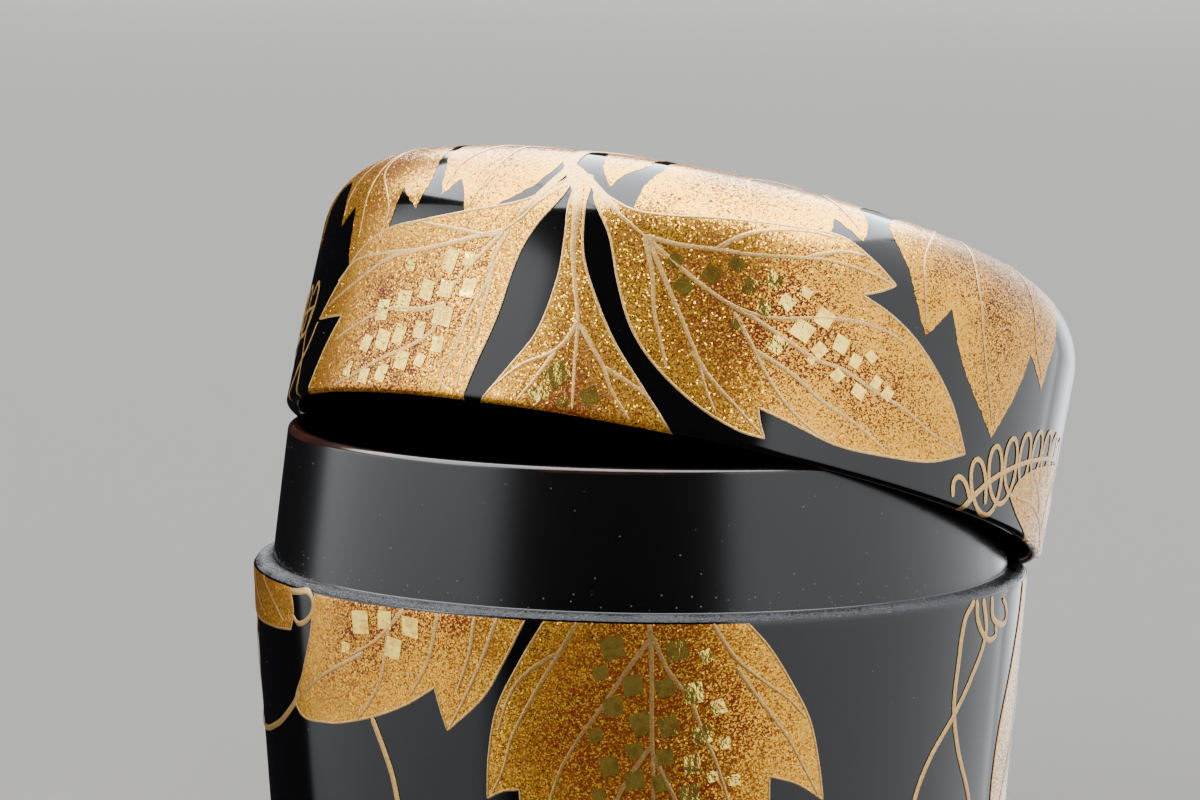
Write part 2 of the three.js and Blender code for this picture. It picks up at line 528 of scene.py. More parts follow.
rim_leaf = [
    [(39.2, rim_end), (37.4, 0.6), (35.4, 1.4)],
    [(33.5, 2.5), (34.2, 3.8), (35.8, 4.9), (38.2, 5.9), (41.9, 6.8)],
    [(46.6, 7.8), (45.8, 6.4)], [(45.3, 5.2), (48.2, 4.4)], [(50.8, 2.6), (50.2, 1.0)], [(49.6, rim_end)],
]
orange_lobe = [
    [(-8.0, -4.0), (-13.0, -6.5), (-18.5, -12.5)] + from_top((-27.5, 20.3), (-26.7, 17.7)),
    from_top((-27.4, 15.3), (-28.7, 16.2)), from_top((-29.8, 17.2), (-30.2, 15.4), (-30.6, 13.0)),
    from_top((-31.0, 11.4), (-33.5, 10.6), (-35.9, 11.0)),
    from_top((-36.9, 15.9)), from_top((-39.4, 14.2), (-39.6, 16.2), (-41.0, 18.4)),
    from_top((-43.6, 18.3)),
    from_top((-46.6, 12.5), (-46.9, 17.0), (-47.6, 20.5)) + [(-25.0, 0.5), (-16.0, -0.5)],
]
yellow_lobe = [
    [(-8.0, -4.0), (-7.0, -11.0), (-9.0, -19.0)]
    + from_top((-14.5, 21.5), (-15.5, 18.6), (-16.6, 17.4), (-17.8, 16.6), (-19.9, 15.3)),
    from_top((-21.7, 14.6), (-22.3, 16.6)), from_top((-23.3, 18.1), (-23.9, 17.3)),
    from_top((-24.8, 16.5), (-25.6, 18.8), (-27.0, 21.3)) + [(-18.0, -16.0), (-12.0, -9.0)],
]
small_lobe = [
    [(-5.8, -13.0), (-9.2, -21.0)] + from_top((-11.3, 22.5), (-10.6, 20.4)),
    from_top((-9.5, 18.7), (-8.6, 20.4), (-7.1, 22.6)) + [(-5.0, -20.0)],
]
pale_lobe = [
    [(12.0, -3.0), (3.0, -9.0), (-2.8, -18.0)] + from_top((-5.6, 22.4), (-6.7, 19.4), (-7.0, 17.2)),
    from_top((-6.9, 16.0), (-1.5, 16.4), (5.7, 17.8), (8.8, 18.4)),
    from_top((9.4, 20.3), (10.6, 19.6)),
    from_top((12.0, 18.6), (12.6, 20.6), (12.7, 23.4)) + [(13.4, -19.0), (13.6, -10.0)],
]
far_lobe = [
    [(12.0, -3.0), (15.0, -11.0), (15.8, -21.0)] + from_top((15.0, 21.4), (16.5, 17.0), (17.8, 14.4)),
    from_top((19.0, 12.6), (20.0, 13.7)), from_top((21.1, 15.3), (22.9, 12.1), (25.2, 9.5)),
    from_top((28.7, 6.4), (30.4, 9.4), (31.7, 12.3)), from_top((32.2, 14.3), (33.4, 13.6)),
    from_top((35.4, 12.0), (36.3, 15.4), (37.4, 18.3)) + [(29.5, -9.5), (21.0, -3.5)],
]
lid_bends = (-0.14, -0.02, 0.1, 0.22, 0.34, 0.46)
chance = random.Random(11)
lid_leaves = bmesh.new()
lid_leaves.verts.layers.float.new("depth")
top_lobes = (orange_lobe, yellow_lobe, small_lobe, pale_lobe, far_lobe)
back_lobes = [[turned_half(margin) for margin in lobe] for lobe in (yellow_lobe, far_lobe)]
for lobe in top_lobes + tuple(back_lobes):
    add_leaf(lid_leaves, lobe, lay_top, top_leaf_lift, (), lambda point: True, chance)
spray = [left_lobe, middle_lobe, right_lobe]
back_spray = [[mirrored(margin, back_mirror) for margin in lobe] for lobe in spray]
back_rim_leaf = [moved(margin, rim_leaf_shift) for margin in rim_leaf]
side_lobes = spray + [rim_leaf] + back_spray + [back_rim_leaf]
for lobe in side_lobes:
    add_leaf(lid_leaves, lobe, lay_lid, leaf_lift, lid_bends, lambda point: point.y > clear_of_rim, chance)

powder = Finish("sprinkled_gold", Specular_IOR_Level=0.15)
grains = powder.cells(9400)
grain_chance = powder.add("SeparateColor", Color=grains.outputs["Color"])
depth = powder.add("Attribute", {"attribute_name": "depth"}).outputs["Fac"]
patches = powder.spread(powder.noise(240, 3), 0.3, 0.7, -0.14, 0.14)
bare = powder.reckon("ADD", powder.spread(depth, 0, 1, 0.12, 0.52), patches)
flake = powder.reckon("GREATER_THAN", grain_chance.outputs["Red"], bare)
ground = powder.blend(depth, (0.38, 0.13, 0.013, 1), (0.17, 0.025, 0.006, 1))
gold = powder.blend(grain_chance.outputs["Green"], (0.5, 0.17, 0.006, 1), (1.0, 0.56, 0.06, 1))
sprinkled = powder.blend(flake, ground, gold)
shine = powder.spread(grain_chance.outputs["Green"], 0, 1, 0.92, 0.4)
powder.set(powder.shader, {
    "Base_Color": sprinkled,
    "Metallic": powder.reckon("MULTIPLY", flake, shine),
    "Roughness": powder.spread(flake, 0, 1, 0.36, 0.21),
})
surface = powder.add("NewGeometry")
lean_of = powder.add("VectorMath", {"operation": "SUBTRACT"})
powder.tree.links.new(grains.outputs["Color"], lean_of.inputs[0])
lean_of.inputs[1].default_value = (0.5, 0.5, 0.5)
turned_up = powder.reckon("POWER", grain_chance.outputs["Blue"], 10)
leaning = powder.add("VectorMath", {"operation": "SCALE"}, Scale=powder.spread(turned_up, 0, 1, 0.14, 0.7))
powder.tree.links.new(lean_of.outputs[0], leaning.inputs[0])
tilted = powder.add("VectorMath", {"operation": "ADD"})
powder.tree.links.new(surface.outputs["Normal"], tilted.inputs[0])
powder.tree.links.new(leaning.outputs[0], tilted.inputs[1])
true_lean = powder.add("VectorMath", {"operation": "NORMALIZE"})
powder.tree.links.new(tilted.outputs[0], true_lean.inputs[0])
powder.set(powder.shader, {"Normal": true_lean.outputs[0]})
leaves = finished("lid_leaves", lid_leaves, powder.material)
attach(leaves, "root")

# The lid's margins, veins, stem and tendrils are brushed lines of fine gold, slightly raised. One
# tendril is a long coil that winds along its own stem, near the rim on the right.
vein_lift = 0.08
margin_lift = 0.07
top_lift = 0.06
vein_root = 0.42
vein_tip = 0.2
margin_width = 0.2
coil_step = 0.25
coil_pitch = 2.5
coil_reach = 2.6
coil_shift = -88  # the coil is drawn again this far round
lid_lines = bmesh.new()
left_veins = (
    [(-12.9, 18.7), (-15.3, 16.3), (-16.0, 15.3), (-17.6, 13.9)],
    [(-17.6, 13.9), (-18.7, 13.4), (-22.2, 13.7), (-26.2, 14.1)],
    [(-17.6, 13.9), (-21.8, 12.7), (-26.1, 11.8), (-30.7, 11.5), (-34.6, 11.0), (-37.2, 9.4)],
    [(-26.1, 11.8), (-29.5, 11.1), (-33.7, 9.2), (-38.3, 7.3)],
    [(-17.6, 13.7), (-19.5, 11.5), (-21.0, 9.6), (-21.8, 7.5)],
    [(-21.8, 7.5), (-24.1, 6.9), (-28.0, 6.8), (-32.3, 5.5), (-35.2, 4.3)],
    [(-21.8, 7.5), (-22.6, 5.2), (-24.9, 3.7), (-27.7, 2.7), (-30.7, 1.4), (-33.9, 0.4)],
    [(-17.1, 14.0), (-18.0, 11.6), (-18.2, 9.4), (-19.3, 6.8), (-19.8, 4.0), (-20.4, 2.3), (-20.6, 0.5)],
    [(-17.9, 11.2), (-17.9, 9.1), (-18.1, 6.9), (-18.2, 5.2), (-18.9, 2.9), (-19.0, 0.5)],
)
middle_veins = (
    [(-11.3, 13.2), (-10.5, 10.4), (-9.6, 7.4), (-9.2, 4.3), (-8.6, 0.4)],
    [(-9.6, 7.4), (-10.3, 5.6), (-11.5, 4.4), (-13.5, 3.3), (-15.8, 1.1)],
    [(-10.9, 4.7), (-12.0, 2.6), (-13.3, 0.4)],
    [(-9.4, 7.2), (-8.0, 5.5), (-6.8, 4.1), (-5.8, 2.4), (-4.0, 0.4)],
    [(-6.8, 4.1), (-5.0, 3.4), (-3.1, 2.5), (-1.5, 1.0)],
)
right_veins = (
    [(-10.8, 18.3), (-8.2, 16.5), (-5.7, 15.0)],
    [(-5.7, 15.0), (-2.9, 14.8), (0, 15.0), (3.0, 15.2),
     (6.5, 15.8), (9.2, 16.2), (12.8, 16.1), (15.0, 15.7)],
    [(0, 15.0), (2.0, 16.6), (4.6, 17.7), (7.8, 18.3), (9.5, 18.2)],
    [(7.3, 16.0), (10.1, 17.2), (12.1, 17.4)],
    [(-5.7, 15.0), (-3.4, 13.6), (-1.1, 12.3), (1.8, 11.0),
     (3.9, 10.6), (6.0, 10.7), (9.6, 11.6), (12.3, 12.0)],
    [(9.6, 11.6), (12.3, 12.0), (15.3, 11.9), (17.3, 11.4)],
    [(1.8, 11.0), (4.5, 10.1), (7.4, 9.0), (9.7, 8.2), (12.0, 8.0),
     (15.2, 7.0), (18.5, 6.2), (21.5, 5.1), (25.1, 4.5)],
    [(-5.7, 15.0), (-4.5, 12.1), (-3.8, 9.4), (-2.7, 6.8), (-1.9, 4.9)],
    [(-5.1, 14.4), (-2.9, 11.1), (-1.1, 8.4), (0.4, 6.1), (1.3, 4.2), (2.6, 2.2)],
    [(-0.2, 6.7), (1.7, 4.8), (3.9, 3.2), (6.6, 1.3)],
    [(2.4, 10.4), (4.1, 8.4), (6.2, 5.8), (8.5, 3.8), (11.0, 2.5), (12.2, 2.2)],
    [(4.6, 7.8), (8.0, 6.6), (10.9, 5.1), (14.0, 4.1), (17.5, 2.5)],
)
rim_veins = (
    [(44.6, 0.4), (41.6, 2.2), (37.8, 2.9), (34.6, 2.7)], [(43.4, 1.3), (43.6, 4.2), (46.0, 7.2)],
    [(44.6, 0.4), (47.6, 2.0), (50.0, 2.5)], [(41.6, 2.2), (39.6, 4.2), (37.4, 5.3)],
)
coil_stem = [(26.4, rim_end), (28.2, 1.8), (30.3, 3.5), (33.3, 5.1), (36.6, 6.3), (41.5, 7.4), (46.0, 7.6)]
orange_veins = (
    [(-8.5, -5.0), (-18.0, -9.0)] + from_top((-35.0, 20.0), (-31.1, 15.4), (-31.4, 12.6)),
    from_top((-36.2, 22.2), (-35.3, 18.0), (-35.0, 13.0)),
    from_top((-38.4, 22.0), (-39.0, 18.0), (-39.2, 15.2)),
)
yellow_veins = (
    [(-8.4, -5.4), (-11.5, -14.5)] + from_top((-20.2, 22.0), (-20.6, 18.5), (-21.5, 15.6)),
    [(-11.5, -14.5)] + from_top((-22.8, 24.0), (-24.3, 20.0), (-24.7, 17.4)),
)
pale_veins = (
    [(12.0, -4.0), (8.0, -15.0)] + from_top((2.0, 24.0), (2.0, 20.0)),
    [(9.6, -11.0), (9.0, -20.0)] + from_top((9.6, 24.5), (11.7, 19.6)),
)
far_veins = (
    [(12.6, -4.0), (17.5, -14.0)] + from_top((20.4, 22.4), (17.9, 18.3), (18.8, 13.4)),
    [(17.5, -14.0)] + from_top((24.6, 21.5), (24.0, 17.7), (25.8, 12.8), (28.5, 7.4)),
    [(13.4, -4.0), (21.0, -9.5)] + from_top((32.9, 20.9), (32.5, 16.1), (35.2, 12.8)),
)
leaf_stalks = ([(-8.0, -4.0), (-6.0, -5.6), (-2.6, -7.0)], [(12.0, -3.0), (8.0, -1.2), (3.4, -0.6)])
for vein in left_veins + middle_veins + right_veins:
    add_line(lid_lines, vein, lay_lid, vein_lift, vein_root, vein_tip)
    add_line(lid_lines, mirrored(vein, back_mirror), lay_lid, vein_lift, vein_root, vein_tip)
for vein in rim_veins:
    add_line(lid_lines, vein, lay_lid, vein_lift, vein_root, vein_tip)
    add_line(lid_lines, moved(vein, rim_leaf_shift), lay_lid, vein_lift, vein_root, vein_tip)
for vein in orange_veins + yellow_veins + pale_veins + far_veins + leaf_stalks:
    add_line(lid_lines, vein, lay_top, top_lift, vein_root, vein_tip)
for vein in yellow_veins + far_veins:
    add_line(lid_lines, turned_half(vein), lay_top, top_lift, vein_root, vein_tip)
for lobe in side_lobes:
    for margin, following in zip(lobe, lobe[1:] + lobe[:1]):
        if margin[-1][1] > clear_of_rim or following[0][1] > clear_of_rim:
            add_line(lid_lines, margin + following[:1], lay_lid, margin_lift, margin_width)
main_vine = from_top((-13.9, 20.4), (-14.0, 24.0)) + [(-7.0, -18.0), (-2.6, -7.0), (3.4, -0.6), (7.6, 8.0)]
main_vine += [(8.0, 17.0)] + from_top((92.6, 24.0), (91.6, 20.6))
add_line(lid_lines, main_vine, lay_top, top_lift, 1.15, 1.0, 0.06)
stem = [(-13.9, 20.8), (-13.0, 19.4), (-11.9, 17.6), (-11.4, 14.4), (-11.2, 12.6)]
add_line(lid_lines, stem, lay_lid, 0.085, 1.2, 0.4, 0.05)
add_line(lid_lines, mirrored(stem, back_mirror), lay_lid, 0.085, 1.2, 0.4, 0.05)
branches = (
    [(-13.7, 20.6), (-13.9, 19.4), (-15.3, 16.9), (-16.6, 15.2)],
    [(-13.4, 20.4), (-11.2, 18.9), (-8.2, 16.6)],
)
for branch in branches:
    add_line(lid_lines, branch, lay_lid, vein_lift, 0.8, vein_root)
    add_line(lid_lines, mirrored(branch, back_mirror), lay_lid, vein_lift, 0.8, vein_root)
for shift in (0, coil_shift):
    stem = smoothed(moved(coil_stem, shift), coil_step)
    add_line(lid_lines, moved(coil_stem, shift), lay_lid, 0.075, 0.5, 0.3)
    coil = []
    for number, point in enumerate(stem[:-4]):
        along = (stem[number + 1] - point).normalized()
        turn = number * coil_step / coil_pitch * math.tau
        reach = coil_reach - number * 0.005
        beside = Vector((-along.y, along.x, 0)) * reach * math.sin(turn)
        ahead = along * (1.6 * math.cos(turn) + 0.5 * math.sin(turn))
        coil.append(tuple(point + beside + ahead)[:2])
    above_rim = []
    below_rim = (0, -9)  # ends the last stretch
    for point in coil + [below_rim]:
        if point[1] > -0.2:
            above_rim.append(point)
        else:
            if len(above_rim) > 2:
                add_line(lid_lines, above_rim, lay_lid, margin_lift, vein_root)
            above_rim = []
rim_strips = (
    [(-42.4, -0.2), (-42.9, 3.0), (-43.7, 5.6), (-43.3, 7.0), (-42.2, 7.6)],
    [(-46.6, -0.2), (-43.8, 2.4), (-41.6, 4.2), (-40.2, 6.1)],
)
for strip in rim_strips:
    add_line(lid_lines, strip, lay_lid, margin_lift, 0.5, 0.3)

drawn = Finish("drawn_gold", Metallic=0.72, Roughness=0.33, Specular_IOR_Level=0.15)
fine_grains = drawn.add("SeparateColor", Color=drawn.cells(11000).outputs["Color"])
drawn.set(drawn.shader, {
    "Base_Color": drawn.blend(fine_grains.outputs["Red"], (0.4, 0.21, 0.065, 1), (0.75, 0.47, 0.16, 1)),
})
drawn.bump(fine_grains.outputs["Green"], 0.35, 0.00004)
lines = finished("lid_lines", lid_lines, drawn.material)
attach(lines, "root")

# Small squares of cut gold foil are set one by one in the middle of some lobes and pressed into the
# lacquer; each is a little crumpled and out of true.
foil_lift = 0.1
top_foil_lift = 0.08
foil_pitch = 1.7
foil_shear = 0.3
lid_foil = bmesh.new()


def add_foil(work, places, lay, lift, chance, slant=0.0, tall=1.0, tilt=0.0):
    """Adds a square of foil at each (x, y, size)."""
    for x, y, size in places:
        corners = bmesh.ops.create_grid(work, x_segments=2, y_segments=2, size=size / 2)["verts"]
        turn = slant + chance.uniform(-0.16, 0.16)
        skew = chance.uniform(-0.12, 0.12)
        long = chance.uniform(0.85, 1.2)
        tip = tilt + chance.uniform(-0.02, 0.02)
        for vert in corners:
            across = vert.co.x * long + vert.co.y * skew
            beside = vert.co.y * tall
            place_x = x + across * math.cos(turn) - beside * math.sin(turn)
            place_y = y + across * math.sin(turn) + beside * math.cos(turn)
            vert.co = lay(place_x, place_y, lift + tip * across + chance.uniform(0, 0.012))


left_foil = (
    (-26.4, 10.5, 0.9), (-22.2, 11.1, 1.6), (-20.3, 11.3, 1.0), (-24.0, 8.5, 1.4), (-22.0, 8.7, 1.2),
    (-19.8, 8.9, 1.3), (-26.4, 7.5, 1.5), (-28.8, 6.7, 1.5), (-26.1, 4.7, 1.4), (-28.0, 4.2, 1.4),
    (-30.1, 3.9, 1.2), (-23.9, 5.2, 1.2), (-21.7, 4.1, 1.1), (-25.2, 2.6, 1.3), (-23.2, 2.7, 0.9),
    (-32.0, 1.8, 1.1), (-29.5, 1.2, 1.1), (-27.3, 1.5, 1.3),
)
middle_foil = ((-11.6, 1.25, 1.3), (-10.4, 2.9, 1.7), (-9.5, 0.85, 0.8), (-7.4, 1.6, 1.4))
right_foil = (
    (-2.9, 13.5, 1.1), (0.1, 13.0, 1.3), (-1.9, 11.6, 1.2), (1.9, 14.2, 1.1), (3.3, 12.7, 1.3),
    (5.1, 13.6, 1.2), (7.8, 13.2, 0.8), (6.4, 12.1, 1.1), (4.7, 11.2, 1.2), (2.8, 9.5, 0.8),
    (9.7, 11.6, 1.4), (8.1, 10.2, 1.5), (6.3, 8.7, 1.5), (11.5, 9.9, 1.3), (9.8, 9.0, 1.1),
    (9.3, 8.1, 0.6), (13.0, 8.9, 1.1), (14.3, 9.6, 0.8), (11.7, 7.4, 1.0), (15.2, 7.7, 1.0),
    (13.8, 6.6, 1.0), (16.4, 7.1, 1.0),
)
broad_square = [(-21.8, 6.5, 2.2)]
add_foil(lid_foil, left_foil, lay_lid, foil_lift, chance, -0.12, 1.15)
add_foil(lid_foil, broad_square, lay_lid, foil_lift, chance, -0.06, 0.72)
add_foil(lid_foil, middle_foil, lay_lid, foil_lift, chance, 0.75)
add_foil(lid_foil, right_foil, lay_lid, foil_lift, chance, -0.45)
for group, slant in ((left_foil[3:14], 0.12), (right_foil[6:18], 0.45)):
    places = [(back_mirror - x, y, size) for x, y, size in group]
    add_foil(lid_foil, places, lay_lid, foil_lift, chance, slant)
for middle_x, middle_y in ((-24.0, -10.5), (5.8, -16.0), (21.5, -13.0), (12.2, 14.6)):
    places = [
        (
            middle_x + column * foil_pitch + row * foil_shear,
            middle_y + row * foil_pitch - column * foil_shear,
            chance.uniform(0.7, 1.3),
        )
        for column in range(-1, 2) for row in range(-1, 2) if chance.random() < 0.75
    ]
    add_foil(lid_foil, places, lay_top, top_foil_lift, chance, 0.2)
cut_gold = Finish("cut_gold", Metallic=0.86, Roughness=0.12, Specular_IOR_Level=0.1)
crumple = cut_gold.noise(1000, 3, 0.6)
tone = cut_gold.spread(cut_gold.noise(1500, 4, 0.65), 0.38, 0.55)
cut_gold.set(cut_gold.shader, {
    "Base_Color": cut_gold.blend(tone, (0.76, 0.44, 0.09, 1), (1.0, 0.72, 0.13, 1)),
})
cut_gold.bump(crumple, 0.5, 0.0002)
foil = finished("lid_foil", lid_foil, cut_gold.material)
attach(foil, "root")

# The body carries leaves of the same kind, which hang from the ledge and go on round the back, with a
# vine below them. The powder, the lines and the foil are laid in the same way as on the lid.
body_reach = sum(math.dist(start, end) for start, end in zip(body_side, body_side[1:]))
lay_body = laid_round(body_side, body_reach, Matrix.Identity(4))
hung = -1.05  # the leaves hang from the turn of the ledge
clear_of_ledge = -1.2
ledge_bends = (-1.26, -1.16)
body_leaf_lift = 0.045
body_vein_lift = 0.065
body_vein_root = 0.4
body_margin_lift = 0.055
body_foil_lift = 0.085
broad_leaf_shift = -74  # the broad leaf is drawn again this far round
slender_leaf_mirror = 68  # the slender leaf is drawn again at the back, at this less x
edge_leaf_middle = 58
slender_leaf = [
    [(-9.4, hung), (-11.2, -4.5), (-13.0, -7.5)], [(-16.3, -10.5), (-16.9, -8.8)],
    [(-17.4, -7.1), (-20.5, -8.9), (-24.8, -10.5), (-30.3, -11.6),
     (-34.9, -11.0), (-33.4, -7.9), (-31.9, -4.8)],
    [(-30.8, hung)],
]
broad_leaf = [
    [(8.3, hung), (10.1, -3.0), (12.2, -6.1), (13.9, -9.1), (14.9, -12.6)], [(15.5, -15.7), (13.0, -14.2)],
    [(10.6, -13.5), (10.4, -18.5), (7.4, -24.0)], [(0.8, -30.0), (-5.4, -24.8), (-9.4, -19.0)],
    [(-10.0, -14.8), (-11.4, -15.0)], [(-12.8, -15.7), (-12.6, -12.2), (-11.8, -8.3), (-9.7, -4.2)],
    [(-7.8, hung)],
]
brown_leaf = [
    [(-34.9, hung), (-34.5, -3.0)], [(-35.2, -4.6), (-38.8, -4.9), (-45.8, -5.0), (-50.0, -4.0)],
    [(-52.0, hung)],
]
edge_leaf = [
    [(68.0, hung), (73.0, -10.0)], [(75.0, -20.5), (71.6, -19.2)], [(69.0, -19.0), (66.0, -27.0)],
    [(58.0, -35.0), (49.5, -28.0)], [(46.0, -21.4), (42.4, -21.8)],
    [(39.6, -22.8), (38.8, -18.0), (39.4, -13.0), (41.6, -8.0), (43.2, -4.0)], [(43.8, hung)],
]
body_leaves = bmesh.new()
body_leaves.verts.layers.float.new("depth")
back_broad_leaf = [moved(margin, broad_leaf_shift) for margin in broad_leaf]
back_slender_leaf = [mirrored(margin, slender_leaf_mirror) for margin in slender_leaf]
hanging_leaves = (slender_leaf, broad_leaf, brown_leaf, edge_leaf, back_broad_leaf, back_slender_leaf)
for lobe in hanging_leaves:
    add_leaf(
        body_leaves, lobe, lay_body, body_leaf_lift, ledge_bends,
        lambda point: point.y < clear_of_ledge, chance,
    )
leaves = finished("body_leaves", body_leaves, powder.material)
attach(leaves, "root")

slender_veins = (
    [(-16.9, hung), (-18.0, -5.1), (-19.9, -8.1)], [(-20.2, hung), (-23.0, -3.7), (-26.2, -5.5)],
    [(-21.8, -2.8), (-22.9, -7.0), (-24.3, -9.1), (-25.9, -10.8)],
    [(-24.7, -5.1), (-30.4, -7.8), (-33.6, -9.7)],
    [(-11.7, hung), (-12.9, -4.1), (-14.6, -7.6), (-16.1, -10.2)],
    [(-13.6, hung), (-14.2, -4.2), (-15.3, -7.2)],
)
broad_veins = (
    [(0.5, hung), (0.7, -4.3), (0.8, -9.0), (1.0, -14.7), (0.8, -29.4)],
    [(0.7, -1.9), (2.0, -4.7), (3.8, -7.1), (5.0, -10.0), (5.8, -11.6), (6.9, -14.5), (8.6, -19.6)],
    [(5.5, hung), (7.4, -3.8), (9.6, -5.6), (12.0, -7.3), (13.6, -8.9)],
    [(7.5, -4.6), (9.7, -7.5), (11.9, -10.2), (13.6, -12.9), (15.1, -15.4)],
    [(0.6, -2.1), (-1.2, -4.7), (-3.3, -7.9), (-5.0, -10.3), (-6.4, -12.7), (-7.4, -15.4), (-8.6, -19.4)],
    [(-5.2, hung), (-6.6, -3.5), (-8.8, -7.2), (-10.6, -10.6), (-11.4, -13.3), (-12.4, -15.3)],
    [(-6.9, -3.6), (-9.3, -5.3), (-10.7, -7.1), (-11.8, -10.2)],
    [(0.7, -10.9), (-0.9, -13.3), (-1.9, -15.2), (-4.6, -23.0)],
    [(0.9, -11.4), (1.9, -13.5), (2.8, -15.2), (5.4, -22.6)],
)
edge_veins = (
    [(58.0, hung), (58.4, -16.0), (58.0, -34.0)],
    [(58.0, -3.0), (50.6, -9.6), (44.6, -16.0), (40.9, -21.7)],
    [(58.0, -3.0), (66.0, -11.0), (73.8, -19.4)], [(58.2, -12.0), (54.0, -20.0), (51.8, -26.0)],
    [(58.2, -12.0), (62.4, -20.0), (65.0, -25.4)],
)
brown_veins = ([(-41.7, hung), (-39.2, -2.5), (-36.6, -4.1)], [(-46.2, hung), (-44.6, -3.0), (-41.5, -4.4)])
vines = (
    [(-34.2, -9.6), (-35.8, -11.1), (-39.7, -13.2), (-46.1, -14.6),
     (-52.0, -13.6), (-56.0, -10.2), (-55.6, -7.0), (-53.2, -6.6), (-52.9, -8.6)],
    [(-24.1, -10.3), (-22.9, -12.8), (-22.0, -15.1), (-21.5, -18.6),
     (-22.4, -24.0), (-26.0, -29.5), (-33.0, -33.0)],
    [(-45.8, -4.9), (-50.0, -10.0), (-52.6, -18.0), (-50.0, -26.0), (-42.0, -31.5), (-33.0, -33.0)],
    [(31.7, hung), (30.4, -2.5), (29.9, -6.1), (29.8, -9.8),
     (31.0, -13.4), (33.7, -18.0), (36.0, -24.0), (35.0, -30.0)],
    [(33.2, hung), (34.1, -4.2), (32.1, -7.6), (29.9, -10.3),
     (27.0, -13.5), (25.4, -16.8), (25.0, -22.0), (27.5, -27.0)],
    [(-33.0, -33.0), (-20.0, -35.5), (0.0, -34.5),
     (18.0, -31.0), (27.5, -27.0), (40.0, -29.0), (58.0, -35.0)],
    [(58.0, -35.0), (72.0, -35.5), (86.0, -32.0), (100.0, -25.0),
     (110.0, -23.0), (121.0, -25.5), (134.0, -30.4)],
    [(-73.3, -30.4), (-64.0, -34.2), (-52.0, -36.0), (-42.0, -35.0), (-33.0, -33.0)],
)
curls = (
    [(32.1, hung), (32.5, -2.8), (34.4, -4.6), (36.2, -4.5), (35.9, -3.6)],
    [(34.8, hung), (35.3, -2.9), (37.5, -3.8), (38.5, -3.4), (38.0, -2.2), (37.2, -1.6)],
    [(-35.0, -1.4), (-33.4, -1.2), (-31.9, -1.0), (-31.1, -1.8),
     (-31.8, -3.1), (-33.7, -3.9), (-34.7, -3.3)],
)
body_lines = bmesh.new()
for vein in slender_veins + broad_veins + edge_veins + brown_veins:
    add_line(body_lines, vein, lay_body, body_vein_lift, body_vein_root, vein_tip)
for vein in broad_veins:
    vein = moved(vein, broad_leaf_shift)
    add_line(body_lines, vein, lay_body, body_vein_lift, body_vein_root, vein_tip)
for vein in slender_veins:
    vein = mirrored(vein, slender_leaf_mirror)
    add_line(body_lines, vein, lay_body, body_vein_lift, body_vein_root, vein_tip)
for lobe in hanging_leaves:
    for margin, following in zip(lobe, lobe[1:] + lobe[:1]):
        if margin[0][1] < hung or following[0][1] < hung:
            add_line(body_lines, margin + following[:1], lay_body, body_margin_lift, margin_width)
for vine in vines + curls:
    add_line(body_lines, vine, lay_body, 0.05, 0.55, 0.45, 0.06)
lines = finished("body_lines", body_lines, drawn.material)
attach(lines, "root")

slender_foil = (
    (-24.9, -2.6, 1.9), (-22.2, -2.1, 1.5), (-19.6, -2.4, 1.6), (-26.8, -4.9, 0.9), (-21.4, -4.3, 1.7),
)
broad_foil = (
    (-2.2, -2.9, 1.8), (-3.3, -5.0, 1.1), (-0.6, -5.9, 1.6), (1.8, -6.1, 1.4), (2.7, -3.1, 1.6),
    (5.0, -3.6, 1.1), (-2.3, -7.7, 1.5), (0.0, -9.0, 1.8), (2.2, -9.2, 1.6), (4.2, -6.5, 1.7),
    (6.1, -7.7, 1.2), (4.9, -9.9, 1.4), (-3.7, -10.0, 1.1), (-0.5, -11.2, 1.3), (1.9, -11.7, 1.3),
    (4.2, -12.3, 1.6), (6.7, -10.6, 1.0), (-2.5, -12.5, 1.5), (-0.5, -13.6, 1.5), (1.7, -13.8, 1.4),
    (5.8, -13.3, 0.9), (7.6, -13.7, 1.0), (-3.4, -14.9, 1.1), (4.0, -14.7, 1.5), (0.3, -16.6, 1.4),
    (2.6, -17.6, 1.2), (-1.9, -18.0, 1.2), (5.0, -17.4, 1.1),
)
body_foil = bmesh.new()
edge_foil = [(x + edge_leaf_middle, y - 6, size) for x, y, size in broad_foil[4:18]]
back_foil = [(x + broad_leaf_shift, y, size) for x, y, size in broad_foil[::2]]
add_foil(body_foil, slender_foil, lay_body, body_foil_lift, chance, -0.05)
add_foil(body_foil, broad_foil, lay_body, body_foil_lift, chance, 0.2, tilt=-0.06)
add_foil(body_foil, edge_foil, lay_body, body_foil_lift, chance, 0.1)
add_foil(body_foil, back_foil, lay_body, body_foil_lift, chance, 0.2)
foil = finished("body_foil", body_foil, cut_gold.material)
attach(foil, "root")

# A plain pale floor curves up into a plain pale wall far behind, under plain soft studio light: a long
# soft box at the left, a wider one at the right, a bright one behind on the right and one overhead.
floor_reach = 4.0
wall_curve = 2.0
stage = bmesh.new()
sweep = [(0, 0), (floor_reach, 0)] + arc(floor_reach, wall_curve, wall_curve, -90, 0, 10)[1:]
points = [stage.verts.new((radius, 0, height)) for radius, height in sweep]
edges = [stage.edges.new(pair) for pair in zip(points, points[1:])]
bmesh.ops.spin(
    stage, geom=points + edges, cent=(0, 0, 0), axis=(0, 0, 1), angle=math.tau, steps=64, use_merge=True,
)
bmesh.ops.remove_doubles(stage, verts=stage.verts[:], dist=1e-6)
floor_paint = Finish("pale_floor", Roughness=1.0, Specular_IOR_Level=0.0, Base_Color=(0.88, 0.875, 0.86, 1))
floor = finished("floor", stage, floor_paint.material)
floor.visible_glossy = False

